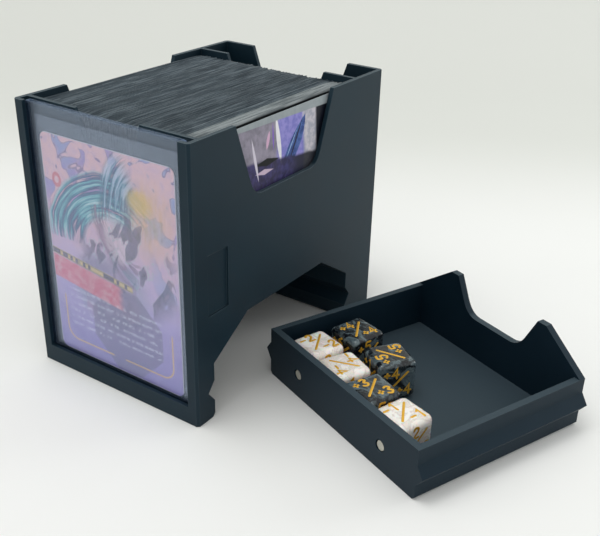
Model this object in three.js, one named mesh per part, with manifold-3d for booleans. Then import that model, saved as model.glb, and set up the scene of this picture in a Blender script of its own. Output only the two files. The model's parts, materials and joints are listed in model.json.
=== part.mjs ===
// Tabletop card deck box with a display window and a slide-in dice tray, loaded for play.
// Millimetres, +Z up. The deck box stands at the middle of its own frame with its display window
// facing -Y and the mouth of the tray tunnel facing +X. The tray lies on the table on the +X side.
import * as THREE from 'three';
import { mergeVertices } from 'three/addons/utils/BufferGeometryUtils.js';
import { RoundedBoxGeometry } from 'three/addons/geometries/RoundedBoxGeometry.js';
import Module from 'manifold-3d';

const wasm = await Module();
wasm.setup();

// ---------------------------------------------------------------- driving dimensions

const GAP = 0.3; // running gap between pieces that touch
const CUT = 2; // how far a cutter runs past the face it cuts
const CURVE_STEPS = 6; // facets in each rounded corner of an outline
const WELD = 1e-4; // vertices this close are one vertex

const CARD_WIDTH = 63;
const CARD_HEIGHT = 88;
const TOPLOADER_WIDTH = 76.2;
const TOPLOADER_HEIGHT = 101.6;
const SLEEVE_LENGTH = 91.5;
const SLEEVE_HEIGHT = 66.5;
const CARD_CORNER = 3;
const DIE_SIZE = 15.5;

// deck box
const BOX_X = 80.4;
const BOX_Y = 119;
const BOX_Z = 106.4;
const WALL = 1.8; // the two thumb-notch walls and the outer back wall
const INNER_WALL = 1.6; // the lip of the window frame and the walls beside the deck
const CORNER_BEVEL = 1;
const SLOT_FLOOR = 4.2; // floor of the toploader slot
const SLOT_DEPTH = 3.5;
const WINDOW_SILL = 7.2;
const POST_WIDTH = 4.6;
const DECK_LENGTH = 92.5; // inside length of the deck chamber
const FLOOR = 2; // plate between the tray tunnel and the deck chamber

// tray tunnel
const FRONT_LEG = 9.6;
const TUNNEL_WIDTH = 88.4;
const TUNNEL_SHOULDER = 22.6; // where the upright side turns into the sloped shoulder
const TUNNEL_HEIGHT = 35.4;
const CEILING_WIDTH = 49;
const GROOVE_MID = 11.3;
const GROOVE_HALF = 4.3;
const GROOVE_DEPTH = 3.4;
const FOOT_CHAMFER = 1.4;
const STOP_WALL = 2.4; // wall at the blind end of the tunnel

// finger notches
const NOTCH_FLOOR = 79; // lowest level of the notches in the side walls
const NOTCH_RUN = 10; // how much each sloped side of a notch leans in
const NOTCH_ALONG = 4.8; // how far the curve of a bottom corner reaches along the floor
const NOTCH_RISE = 5.4; // and up the sloped side
const SIDE_NOTCH_WIDTH = 59;
const BACK_NOTCH_WIDTH = 48.6;
const FRONT_NOTCH_WIDTH = 30;

// shallow pocket in the mouth-side wall, by the window corner
const POCKET = { fromFront: 7.4, width: 11, low: 42.4, high: 65.4, depth: 0.9 };

// tray
const TRAY_WIDTH = 87.8;
const TRAY_LENGTH = 77.4;
const TRAY_HEIGHT = 20.2;
const TRAY_PEAK = 33.4; // top of the finger-notch end
const PEAK_OUTER = 25.4; // where the shoulder slope meets the peak, from the middle
const PEAK_INNER = 21.3;
const TRAY_NOTCH_FLOOR = 18.7;
const TRAY_NOTCH_HALF = 14;
const TRAY_SIDE = 2.6;
const TRAY_END = 2.8;
const TRAY_FLOOR = 2;
const TRAY_CHAMFER = 1.1;
const RAIL_MID = 10.2;
const RAIL_HALF = 4;
const RAIL_DEPTH = 3;

// the tray's place on the table, turned away from the tunnel
const TRAY_TURN = THREE.MathUtils.degToRad(68);
const TRAY_X = 80.4;
const TRAY_Y = -31.4;

// magnets
const MAGNET_RADIUS = 2;
const MAGNET_THICKNESS = 1.5;
const MAGNET_SINK = 0.3; // how far a magnet's face lies below the wall around it
const DISC_SIDES = 32;
const MAGNET_SPREAD = 25; // from the middle line to each magnet
const MAGNET_LIFT = 9.5; // above the tray's underside
const TRAY_LIFT = GROOVE_MID - RAIL_MID; // the rails carry the docked tray this far off the table

// deck
const PACKETS = 26;
const DECK_THICKNESS = 76.2;

// ---------------------------------------------------------------- places worked out from them

const HALF_X = BOX_X / 2;
const HALF_Y = BOX_Y / 2;
const CHAMBER_X = HALF_X - WALL;
const LIP_BACK = -HALF_Y + INNER_WALL;
const SLOT_BACK = LIP_BACK + SLOT_DEPTH;
const CHAMBER_FRONT = SLOT_BACK + INNER_WALL;
const CHAMBER_BACK = CHAMBER_FRONT + DECK_LENGTH;
const CHAMBER_MID = (CHAMBER_FRONT + CHAMBER_BACK) / 2;
const REAR_SLOT_FRONT = CHAMBER_BACK + INNER_WALL;
const REAR_SLOT_BACK = HALF_Y - WALL;
const CHAMBER_FLOOR = TUNNEL_HEIGHT + FLOOR;
const TUNNEL_MID = -HALF_Y + FRONT_LEG + TUNNEL_WIDTH / 2;
const TUNNEL_END = -HALF_X + STOP_WALL;

// ---------------------------------------------------------------- solid building

function solid(geometry) {
  const bare = geometry.clone();
  bare.deleteAttribute('normal');
  bare.deleteAttribute('uv');
  const welded = mergeVertices(bare, WELD);
  const mesh = new wasm.Mesh({
    numProp: 3,
    vertProperties: new Float32Array(welded.attributes.position.array),
    triVerts: new Uint32Array(welded.index.array),
  });
  return new wasm.Manifold(mesh);
}

function geometryOf(manifold) {
  const mesh = manifold.getMesh();
  const geometry = new THREE.BufferGeometry();
  geometry.setAttribute('position', new THREE.BufferAttribute(new Float32Array(mesh.vertProperties), 3));
  geometry.setIndex(new THREE.BufferAttribute(new Uint32Array(mesh.triVerts), 1));
  geometry.computeVertexNormals();
  return geometry;
}

function block(x0, x1, y0, y1, z0, z1) {
  const geometry = new THREE.BoxGeometry(x1 - x0, y1 - y0, z1 - z0);
  return geometry.translate((x0 + x1) / 2, (y0 + y1) / 2, (z0 + z1) / 2);
}

function extrude(outline, length) {
  const shape = outline instanceof THREE.Shape ? outline : shapeOf(outline);
  return new THREE.ExtrudeGeometry(shape, { depth: length, bevelEnabled: false, curveSegments: CURVE_STEPS });
}

function shapeOf(points) {
  return new THREE.Shape(points.map(([u, v]) => new THREE.Vector2(u, v)));
}

// an outline drawn in Y and Z, run along X from x0 to x1
function alongX(outline, x0, x1) {
  const turn = new THREE.Matrix4().makeBasis(
    new THREE.Vector3(0, 1, 0),
    new THREE.Vector3(0, 0, 1),
    new THREE.Vector3(1, 0, 0),
  );
  return extrude(outline, x1 - x0).applyMatrix4(turn).translate(x0, 0, 0);
}

// an outline drawn in X and Z, run along Y from y0 to y1
function alongY(outline, y0, y1) {
  return extrude(outline, y1 - y0).rotateX(Math.PI / 2).translate(0, y1, 0);
}

// a rectangle with its four corners cut off at 45 degrees
function bevelled(width, height, bevel) {
  const u = width / 2;
  const v = height / 2;
  return [
    [-u + bevel, -v], [u - bevel, -v], [u, -v + bevel], [u, v - bevel],
    [u - bevel, v], [-u + bevel, v], [-u, v - bevel], [-u, -v + bevel],
  ];
}

function roundedRectangle(width, height, radius) {
  const u = width / 2;
  const v = height / 2;
  const shape = new THREE.Shape();
  shape.moveTo(-u + radius, -v);
  shape.lineTo(u - radius, -v);
  shape.absarc(u - radius, -v + radius, radius, -Math.PI / 2, 0);
  shape.lineTo(u, v - radius);
  shape.absarc(u - radius, v - radius, radius, 0, Math.PI / 2);
  shape.lineTo(-u + radius, v);
  shape.absarc(-u + radius, v - radius, radius, Math.PI / 2, Math.PI);
  shape.lineTo(-u, -v + radius);
  shape.absarc(-u + radius, -v + radius, radius, Math.PI, Math.PI * 1.5);
  return shape;
}

// a finger notch: open at the top, sloped sides, rounded bottom corners
function notch(middle, halfTop, halfBottom, floor, top) {
  const lean = (halfTop - halfBottom) / (top - floor);
  const halfOver = halfTop + lean * CUT;
  const shape = new THREE.Shape();
  shape.moveTo(middle - halfOver, top + CUT);
  shape.lineTo(middle - halfBottom - lean * NOTCH_RISE, floor + NOTCH_RISE);
  shape.quadraticCurveTo(middle - halfBottom, floor, middle - halfBottom + NOTCH_ALONG, floor);
  shape.lineTo(middle + halfBottom - NOTCH_ALONG, floor);
  shape.quadraticCurveTo(
    middle + halfBottom, floor,
    middle + halfBottom + lean * NOTCH_RISE, floor + NOTCH_RISE,
  );
  shape.lineTo(middle + halfOver, top + CUT);
  return shape;
}

function wallNotch(middle, width) {
  return notch(middle, width / 2, width / 2 - NOTCH_RUN, NOTCH_FLOOR, BOX_Z);
}

// a disc lying in the YZ plane, its near face at x
function disc(radius, thickness, x, y, z) {
  return new THREE.CylinderGeometry(radius, radius, thickness, DISC_SIDES)
    .rotateZ(Math.PI / 2)
    .translate(x + thickness / 2, y, z);
}

function cut(body, cutters) {
  return cutters.reduce((left, cutter) => left.subtract(solid(cutter)), body);
}

// ---------------------------------------------------------------- materials and nodes

const plastic = () => new THREE.MeshStandardMaterial({ color: 0x2b333b, roughness: 0.6, metalness: 0 });
const nickel = () => new THREE.MeshStandardMaterial({ color: 0xb9bcba, roughness: 0.25, metalness: 1 });
const clearPlastic = () => new THREE.MeshStandardMaterial({ color: 0xa9b7cf, roughness: 0.1, metalness: 0 });
const printedCard = () => new THREE.MeshStandardMaterial({ color: 0xc1a4c8, roughness: 0.4, metalness: 0 });
const darkSleeve = () => new THREE.MeshStandardMaterial({ color: 0x24282e, roughness: 0.55, metalness: 0 });
const paleSleeve = () => new THREE.MeshStandardMaterial({ color: 0x5f6467, roughness: 0.5, metalness: 0 });
const whiteMarble = () => new THREE.MeshStandardMaterial({ color: 0xe9e4dc, roughness: 0.25, metalness: 0 });
const blackMarble = () => new THREE.MeshStandardMaterial({ color: 0x2a313b, roughness: 0.2, metalness: 0 });

function node(parent, name, geometry, material) {
  const mesh = new THREE.Mesh(geometry, material);
  mesh.name = name;
  parent.add(mesh);
  return mesh;
}

// ---------------------------------------------------------------- deck box, one printed piece

const groove = (side) => [
  [TUNNEL_MID + side * TUNNEL_WIDTH / 2, GROOVE_MID - GROOVE_HALF],
  [TUNNEL_MID + side * (TUNNEL_WIDTH / 2 + GROOVE_DEPTH), GROOVE_MID],
  [TUNNEL_MID + side * TUNNEL_WIDTH / 2, GROOVE_MID + GROOVE_HALF],
];

function tunnelSide(side) {
  const wall = TUNNEL_MID + side * TUNNEL_WIDTH / 2;
  return [
    [wall + side * (FOOT_CHAMFER + CUT), -CUT],
    [wall, FOOT_CHAMFER],
    ...groove(side),
    [wall, TUNNEL_SHOULDER],
    [TUNNEL_MID + side * CEILING_WIDTH / 2, TUNNEL_HEIGHT],
  ];
}

const tunnelOutline = [...tunnelSide(1), ...tunnelSide(-1).reverse()];
const boxBlank = extrude(bevelled(BOX_X, BOX_Y, CORNER_BEVEL), BOX_Z);
const windowX = HALF_X - POST_WIDTH;
const pocketFront = -HALF_Y + POCKET.fromFront;
const pocketBack = pocketFront + POCKET.width;
const magnetHoleRadius = MAGNET_RADIUS + GAP;
const magnetHoleDepth = MAGNET_SINK + MAGNET_THICKNESS + GAP / 2;

const boxBody = cut(solid(boxBlank), [
  alongX(tunnelOutline, TUNNEL_END, HALF_X + CUT),
  block(-CHAMBER_X, CHAMBER_X, CHAMBER_FRONT, CHAMBER_BACK, CHAMBER_FLOOR, BOX_Z + CUT),
  block(-CHAMBER_X, CHAMBER_X, REAR_SLOT_FRONT, REAR_SLOT_BACK, CHAMBER_FLOOR, BOX_Z + CUT),
  block(-CHAMBER_X, CHAMBER_X, LIP_BACK, SLOT_BACK, SLOT_FLOOR, BOX_Z + CUT),
  block(-windowX, windowX, -HALF_Y - CUT, LIP_BACK + CUT / 2, WINDOW_SILL, BOX_Z + CUT),
  alongX(wallNotch(CHAMBER_MID, SIDE_NOTCH_WIDTH), -HALF_X - CUT, HALF_X + CUT),
  alongY(wallNotch(0, FRONT_NOTCH_WIDTH), SLOT_BACK - CUT / 2, CHAMBER_FRONT + CUT / 2),
  alongY(wallNotch(0, BACK_NOTCH_WIDTH), CHAMBER_BACK - CUT / 2, HALF_Y + CUT),
  block(HALF_X - POCKET.depth, HALF_X + CUT, pocketFront, pocketBack, POCKET.low, POCKET.high),
  ...[-1, 1].map((side) => disc(
    magnetHoleRadius,
    magnetHoleDepth + CUT,
    TUNNEL_END - magnetHoleDepth,
    TUNNEL_MID + side * MAGNET_SPREAD,
    MAGNET_LIFT + TRAY_LIFT,
  )),
]);

const deckBox = new THREE.Group();
node(deckBox, 'box_body', geometryOf(boxBody), plastic());

for (const [side, name] of [[-1, 'box_magnet_front'], [1, 'box_magnet_back']]) {
  const seat = TUNNEL_END - MAGNET_SINK - MAGNET_THICKNESS;
  const along = TUNNEL_MID + side * MAGNET_SPREAD;
  const magnet = disc(MAGNET_RADIUS, MAGNET_THICKNESS, seat, along, MAGNET_LIFT + TRAY_LIFT);
  node(deckBox, name, magnet, nickel());
}

// ---------------------------------------------------------------- toploader and its card

const TOPLOADER_WALL = 0.5;
const CARD_THICKNESS = 0.3;
const TOPLOADER_SEAL = 3.1; // welded strip under the card
const POCKET_WIDTH = 70;
const toploaderThickness = 2 * TOPLOADER_WALL + CARD_THICKNESS + 2 * GAP;
const toploaderFront = LIP_BACK + GAP;
const toploaderFloor = SLOT_FLOOR + GAP;

const toploaderSheet = alongY(
  roundedRectangle(TOPLOADER_WIDTH, TOPLOADER_HEIGHT, CARD_CORNER),
  toploaderFront,
  toploaderFront + toploaderThickness,
).translate(0, 0, toploaderFloor + TOPLOADER_HEIGHT / 2);
const toploaderPocket = block(
  -POCKET_WIDTH / 2, POCKET_WIDTH / 2,
  toploaderFront + TOPLOADER_WALL, toploaderFront + toploaderThickness - TOPLOADER_WALL,
  toploaderFloor + TOPLOADER_SEAL, BOX_Z + CUT,
);
node(deckBox, 'toploader', geometryOf(cut(solid(toploaderSheet), [toploaderPocket])), clearPlastic());

const cardFront = toploaderFront + TOPLOADER_WALL + GAP;
const displayCard = alongY(
  roundedRectangle(CARD_WIDTH, CARD_HEIGHT, CARD_CORNER),
  cardFront,
  cardFront + CARD_THICKNESS,
).translate(0, 0, toploaderFloor + TOPLOADER_SEAL + GAP + CARD_HEIGHT / 2);
node(deckBox, 'display_card', displayCard, printedCard());

// ---------------------------------------------------------------- deck of sleeved cards, in packets

const packetPitch = (DECK_THICKNESS + GAP) / PACKETS;
const packetThickness = packetPitch - GAP;
for (let i = 0; i < PACKETS; i += 1) {
  const x = -DECK_THICKNESS / 2 + i * packetPitch;
  const packet = block(
    x, x + packetThickness,
    CHAMBER_MID - SLEEVE_LENGTH / 2, CHAMBER_MID + SLEEVE_LENGTH / 2,
    CHAMBER_FLOOR + GAP, CHAMBER_FLOOR + GAP + SLEEVE_HEIGHT,
  );
  const last = i === PACKETS - 1;
  const name = last ? 'outer_packet' : `packet_${String(i + 1).padStart(2, '0')}`;
  node(deckBox, name, packet, last ? paleSleeve() : darkSleeve());
}

// ---------------------------------------------------------------- dice tray, one printed piece
// Its own frame has the magnet end at x = 0 and the finger-notch end at x = TRAY_LENGTH.

const halfTray = TRAY_WIDTH / 2;
const trayProfile = [
  [-halfTray + TRAY_CHAMFER, 0], [halfTray - TRAY_CHAMFER, 0], [halfTray, TRAY_CHAMFER],
  [halfTray, RAIL_MID - RAIL_HALF], [halfTray + RAIL_DEPTH, RAIL_MID], [halfTray, RAIL_MID + RAIL_HALF],
  [halfTray, TRAY_HEIGHT], [-halfTray, TRAY_HEIGHT],
  [-halfTray, RAIL_MID + RAIL_HALF], [-halfTray - RAIL_DEPTH, RAIL_MID], [-halfTray, RAIL_MID - RAIL_HALF],
  [-halfTray, TRAY_CHAMFER],
];
const endWall = [
  [-halfTray, TRAY_HEIGHT / 2], [halfTray, TRAY_HEIGHT / 2], [halfTray, TRAY_HEIGHT],
  [PEAK_OUTER, TRAY_PEAK], [-PEAK_OUTER, TRAY_PEAK], [-halfTray, TRAY_HEIGHT],
];

const trayBlank = solid(alongX(trayProfile, 0, TRAY_LENGTH))
  .add(solid(alongX(endWall, TRAY_LENGTH - TRAY_END, TRAY_LENGTH)));
const trayBody = cut(trayBlank, [
  block(TRAY_END, TRAY_LENGTH - TRAY_END, -halfTray + TRAY_SIDE, halfTray - TRAY_SIDE, TRAY_FLOOR, TRAY_PEAK),
  alongX(
    notch(0, PEAK_INNER, TRAY_NOTCH_HALF, TRAY_NOTCH_FLOOR, TRAY_PEAK),
    TRAY_LENGTH - TRAY_END - CUT,
    TRAY_LENGTH + CUT,
  ),
  ...[-1, 1].map((side) => disc(
    magnetHoleRadius, magnetHoleDepth + CUT, -CUT, side * MAGNET_SPREAD, MAGNET_LIFT,
  )),
]);

const tray = new THREE.Group();
tray.position.set(TRAY_X, TRAY_Y, 0);
tray.rotation.z = TRAY_TURN;
node(tray, 'dice_tray', geometryOf(trayBody), plastic());
for (const [side, name] of [[-1, 'tray_magnet_near'], [1, 'tray_magnet_far']]) {
  const magnet = disc(MAGNET_RADIUS, MAGNET_THICKNESS, MAGNET_SINK, side * MAGNET_SPREAD, MAGNET_LIFT);
  node(tray, name, magnet, nickel());
}

// ---------------------------------------------------------------- six counter dice, loose in the tray

const WHITE_ROUNDING = 2.6;
const BLACK_ROUNDING = 1.8;
const ROUNDING_STEPS = 4;
const dice = [
  { name: 'white_die_1', x: 12.2, y: 29.6, turn: 3, white: true },
  { name: 'white_die_2', x: 12, y: 12.1, turn: -5, white: true },
  { name: 'white_die_3', x: 11.3, y: -22.7, turn: 4, white: true },
  { name: 'black_die_1', x: 11.2, y: -5.7, turn: -3, white: false },
  { name: 'black_die_2', x: 30.9, y: 29.4, turn: 4, white: false },
  { name: 'black_die_3', x: 30.5, y: 8.3, turn: -14, white: false },
];
for (const die of dice) {
  const rounding = die.white ? WHITE_ROUNDING : BLACK_ROUNDING;
  const cube = new RoundedBoxGeometry(DIE_SIZE, DIE_SIZE, DIE_SIZE, ROUNDING_STEPS, rounding);
  const mesh = node(tray, die.name, geometryOf(solid(cube)), die.white ? whiteMarble() : blackMarble());
  mesh.position.set(die.x, die.y, TRAY_FLOOR + GAP + DIE_SIZE / 2);
  mesh.rotation.z = THREE.MathUtils.degToRad(die.turn);
}

// ---------------------------------------------------------------- the whole set, centred over its footprint

const cardBoxSet = new THREE.Group();
cardBoxSet.add(deckBox, tray);
const footprint = new THREE.Box3().setFromObject(cardBoxSet).getCenter(new THREE.Vector3());
cardBoxSet.position.set(-footprint.x, -footprint.y, 0);

export default cardBoxSet;
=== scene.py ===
import json
import math
from types import SimpleNamespace

import bmesh
import bpy
from mathutils import Matrix, Vector, noise

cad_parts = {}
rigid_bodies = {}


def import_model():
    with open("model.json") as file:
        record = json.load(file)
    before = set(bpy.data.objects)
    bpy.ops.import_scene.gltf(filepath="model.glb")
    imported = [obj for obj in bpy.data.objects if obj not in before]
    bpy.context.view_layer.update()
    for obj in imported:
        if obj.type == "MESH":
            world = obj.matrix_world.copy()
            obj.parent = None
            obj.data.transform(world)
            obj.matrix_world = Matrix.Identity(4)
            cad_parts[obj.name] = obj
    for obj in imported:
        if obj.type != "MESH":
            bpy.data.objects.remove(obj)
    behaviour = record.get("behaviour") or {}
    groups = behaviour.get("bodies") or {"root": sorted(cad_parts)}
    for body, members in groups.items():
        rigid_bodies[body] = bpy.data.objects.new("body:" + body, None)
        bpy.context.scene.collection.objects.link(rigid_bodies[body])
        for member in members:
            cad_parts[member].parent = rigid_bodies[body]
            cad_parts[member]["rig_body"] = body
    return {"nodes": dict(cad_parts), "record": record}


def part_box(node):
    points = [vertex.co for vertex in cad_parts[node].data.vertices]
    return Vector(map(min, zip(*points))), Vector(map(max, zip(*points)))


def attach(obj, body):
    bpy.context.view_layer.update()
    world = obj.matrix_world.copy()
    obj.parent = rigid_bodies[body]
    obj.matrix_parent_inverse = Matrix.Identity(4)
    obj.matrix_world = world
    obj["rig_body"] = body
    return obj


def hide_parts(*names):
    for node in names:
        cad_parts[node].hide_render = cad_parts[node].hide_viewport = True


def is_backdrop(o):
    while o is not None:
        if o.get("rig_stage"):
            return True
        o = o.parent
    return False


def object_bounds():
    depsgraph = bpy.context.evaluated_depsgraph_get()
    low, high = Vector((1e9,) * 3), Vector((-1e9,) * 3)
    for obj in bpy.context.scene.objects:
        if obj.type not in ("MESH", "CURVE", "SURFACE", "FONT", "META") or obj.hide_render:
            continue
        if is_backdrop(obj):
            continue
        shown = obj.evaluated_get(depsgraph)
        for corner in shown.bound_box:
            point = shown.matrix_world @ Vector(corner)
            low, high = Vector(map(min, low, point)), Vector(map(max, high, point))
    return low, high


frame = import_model()
cad_low, cad_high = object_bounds()
MM = 0.001


# ------------------------------------------------------------------ table top
# A seamless pale table top with a faint tooth, on which the deck box and its tray stand. It is
# only a stage, wide enough to fill the view.

AWAY = (-0.5, 0.87, 0.0)


class Wire:
    """An output socket in a node tree, or the bare tree. Arithmetic on wires adds Math nodes."""

    def __init__(self, tree, socket=None):
        self.tree = tree
        self.socket = socket

    def node(self, kind, settings=None, values=None, out=0):
        """A new node: its settings first, then the values or wires of its sockets."""
        made = self.tree.nodes.new("ShaderNode" + kind)
        for name, value in (settings or {}).items():
            if name == "stops":
                ramp = made.color_ramp.elements
                while len(ramp) < len(value):
                    ramp.new(0.5)
                for stop, (place, tone) in zip(ramp, value):
                    stop.position = place
                    stop.color = tone if len(tone) == 4 else (*tone, 1)
            else:
                setattr(made, name, value)
        for name, value in (values or {}).items():
            socket = made.inputs[name]
            if isinstance(value, Wire):
                self.tree.links.new(value.socket, socket)
            elif isinstance(value, tuple) and len(value) == 3 and socket.type == "RGBA":
                socket.default_value = (*value, 1)
            else:
                socket.default_value = value
        return Wire(self.tree, made.outputs[out])

    def maths(self, operation, first, second=0.0):
        """A Math node on two numbers or wires."""
        return self.node("Math", {"operation": operation}, {0: first, 1: second})

    def __add__(self, other):
        return self.maths("ADD", self, other)

    __radd__ = __add__

    def __sub__(self, other):
        return self.maths("SUBTRACT", self, other)

    def __rsub__(self, other):
        return self.maths("SUBTRACT", other, self)

    def __mul__(self, other):
        return self.maths("MULTIPLY", self, other)

    __rmul__ = __mul__

    def __truediv__(self, other):
        return self.maths("DIVIDE", self, other)

    def __abs__(self):
        return self.maths("ABSOLUTE", self)

    def __pow__(self, other):
        return self.maths("POWER", self, other)

    def soft(self, low, high):
        """0 at low and 1 at high, with a smooth run between them. low may be above high."""
        if low > high:
            return 1 - self.soft(high, low)
        settings = {"interpolation_type": "SMOOTHSTEP"}
        return self.node("MapRange", settings, {"Value": self, 1: low, 2: high})

    def sine(self):
        return self.maths("SINE", self)

    def floor(self):
        return self.maths("FLOOR", self)

    def larger(self, other):
        return self.maths("MAXIMUM", self, other)

    def smaller(self, other):
        return self.maths("MINIMUM", self, other)

    def mix(self, first, second):
        """The first colour where this mask is 0, the second where it is 1."""
        return self.node("Mix", {"data_type": "RGBA"}, {0: self, 6: first, 7: second}, out=2)

    def ramp(self, *stops):
        """A colour read off a row of stops, each a place from 0 to 1 and its colour."""
        return self.node("ValToRGB", {"stops": stops}, {0: self})

    def part(self, letter):
        """The x, y or z of a vector."""
        return self.node("SeparateXYZ", values={0: self}, out="xyz".index(letter))

    def point(self, x, y, z):
        """A vector put together from three numbers or wires."""
        return self.node("CombineXYZ", values={0: x, 1: y, 2: z})


def srgb(red, green, blue):
    """A colour as it looks on a screen, 0 to 255, turned into the linear light that shaders use."""
    tones = [tone / 255 for tone in (red, green, blue)]
    return tuple(t / 12.92 if t <= 0.04045 else ((t + 0.055) / 1.055) ** 2.4 for t in tones)


def blank_material(name):
    """A material with an empty tree, and the place on the piece in millimetres."""
    material = bpy.data.materials.new(name)
    material.use_nodes = True
    material.node_tree.nodes.clear()
    where = Wire(material.node_tree).node("TexCoord", out=3)
    return material, where.node("VectorMath", {"operation": "SCALE"}, {0: where, 3: 1 / MM})


def new_finish(name, **fixed):
    """A blank material with one plain shader, whose fixed sockets are given by name."""
    material, place = blank_material(name)
    shader = material.node_tree.nodes.new("ShaderNodeBsdfPrincipled")
    output = material.node_tree.nodes.new("ShaderNodeOutputMaterial")
    material.node_tree.links.new(shader.outputs[0], output.inputs[0])
    for socket, value in fixed.items():
        shader.inputs[socket.replace("_", " ")].default_value = value
    return material, shader, place


def feed(shader, **wires):
    """Leads each wire to the shader's socket of that name."""
    for socket, wire in wires.items():
        wire.tree.links.new(wire.socket, shader.inputs[socket.replace("_", " ")])


def mottle(place, scale, detail=2.0, roughness=0.5, distortion=0.0):
    """Cloudy noise with its grain size set by scale, per millimetre."""
    return place.node("TexNoise", values={
        "Vector": place, "Scale": scale, "Detail": detail, "Roughness": roughness, "Distortion": distortion,
    })


def bump(height, strength, distance):
    """A normal tilted by a height pattern, with the distance in metres."""
    return height.node("Bump", values={"Strength": strength, "Distance": distance, "Height": height})


def placed(name, data):
    """A mesh, lamp or lens put into the scene as an object."""
    thing = bpy.data.objects.new(name, data)
    bpy.context.scene.collection.objects.link(thing)
    return thing


def table_finish():
    """Matt white paper, greying far off with painted shade where the light falls away."""
    material, shader, place = new_finish("table_paper", Roughness=0.75, Specular_IOR_Level=0.25)
    cloud = mottle(place, 0.01, 3)
    away = place.node("VectorMath", {"operation": "DOT_PRODUCT"}, {0: place, 1: AWAY}, out=1)
    near = cloud.mix(srgb(238, 239, 237), srgb(241, 242, 240))
    feed(
        shader,
        # painted shade: from 120 to 330 mm away the paper is mixed to grey, for the light that falls off
        # towards the back
        Base_Color=away.soft(120, 330).mix(near, srgb(217, 219, 214)),
        Normal=bump(mottle(place, 1.2, 4), 0.15, 0.05 * MM),
    )
    return material


def build_table():
    """A flat top that sweeps up into a low backdrop well behind the box."""
    reach, bend_start, bend, sweep, steps = 2.5, 0.42, 0.5, 1.25, 16
    away = Vector(AWAY).normalized()
    across = Vector((away.y, -away.x, 0))
    floor = cad_low[2] - 0.1 * MM
    profile = [(-reach, 0.0), (-0.8, 0.0), (0.0, 0.0), (bend_start, 0.0)]
    for step in range(1, steps + 1):
        turn = sweep * step / steps
        profile.append((bend_start + bend * math.sin(turn), bend * (1 - math.cos(turn))))
    profile.append((profile[-1][0] + 0.5, profile[-1][1] + 1.5))
    verts = [
        away * run + across * side * reach + Vector((0, 0, floor + rise))
        for run, rise in profile for side in (-1, 1)
    ]
    faces = [(i, i + 1, i + 3, i + 2) for i in range(0, len(verts) - 2, 2)]
    mesh = bpy.data.meshes.new("table_top")
    mesh.from_pydata(verts, [], faces)
    mesh.shade_smooth()
    mesh.materials.append(table_finish())
    placed("table_top", mesh)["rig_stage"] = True


build_table()


# ------------------------------------------------------------------ light and camera
# One wide soft light overhead, a little to the left, and a weak one low at the back right, in a
# pale room. The camera looks down on the window corner of the box.

def soft_light(name, place, aim, size, watts, tone):
    """A round lamp with a wide soft face, turned towards a point."""
    data = bpy.data.lights.new(name, "AREA")
    data.shape = "DISK"
    data.size = size
    data.energy = watts
    data.color = tone
    lamp = placed(name, data)
    lamp.location = place
    lamp.rotation_euler = (Vector(aim) - Vector(place)).to_track_quat("-Z", "Y").to_euler()


soft_light(
    "overhead_light", place=(-0.22, -0.14, 1.05), aim=(0, 0, 0.02),
    size=0.6, watts=3.2, tone=(1.0, 1.0, 0.99),
)
soft_light(
    "window_light", place=(0.5, 0.62, 0.3), aim=(0.03, 0.05, 0.06),
    size=0.4, watts=1.3, tone=(0.97, 0.99, 1.0),
)


def pale_room():
    """Light walls all round, brighter overhead and on the camera's side."""
    room = bpy.data.worlds.new("pale_room")
    room.use_nodes = True
    background = room.node_tree.nodes["Background"]
    background.inputs["Color"].default_value = (1.0, 1.0, 0.99, 1)
    way = Wire(room.node_tree).node("TexCoord")
    height, depth = way.part("z"), way.part("y")
    feed(background, Strength=height.soft(0.0, 1.0) * 0.25 + depth.soft(0.6, -0.6) * 0.3 + 0.46)
    return room


bpy.context.scene.world = pale_room()
bpy.context.scene.view_settings.view_transform = "Standard"

AZIMUTH, ELEVATION, ROLL = (math.radians(angle) for angle in (33.64, 27.41, 1.57))
DISTANCE = 0.3255
aim_point = Vector((-0.0039, -0.0128, 0.045))
back = Vector((
    math.sin(AZIMUTH) * math.cos(ELEVATION),
    -math.cos(AZIMUTH) * math.cos(ELEVATION),
    math.sin(ELEVATION),
))
lens = bpy.data.cameras.new("view")
lens.sensor_width = 36.0
lens.lens = 53.1
lens.shift_x = -0.0053
lens.shift_y = 0.0177
lens.clip_start = 0.01
camera = placed("view", lens)
camera.matrix_world = (
    Matrix.Translation(aim_point + back * DISTANCE)
    @ back.to_track_quat("Z", "Y").to_matrix().to_4x4()
    @ Matrix.Rotation(ROLL, 4, "Z")
)
bpy.context.scene.camera = camera


# ------------------------------------------------------------------ deck box
# One charcoal print holds everything: window frame, deck chamber, rear slot and tray tunnel. It
# is printed upright in fine layers, and every corner is eased by about the width of one bead.

LAYER = 0.2 * MM
BEND_ANGLE = math.radians(24)


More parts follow.
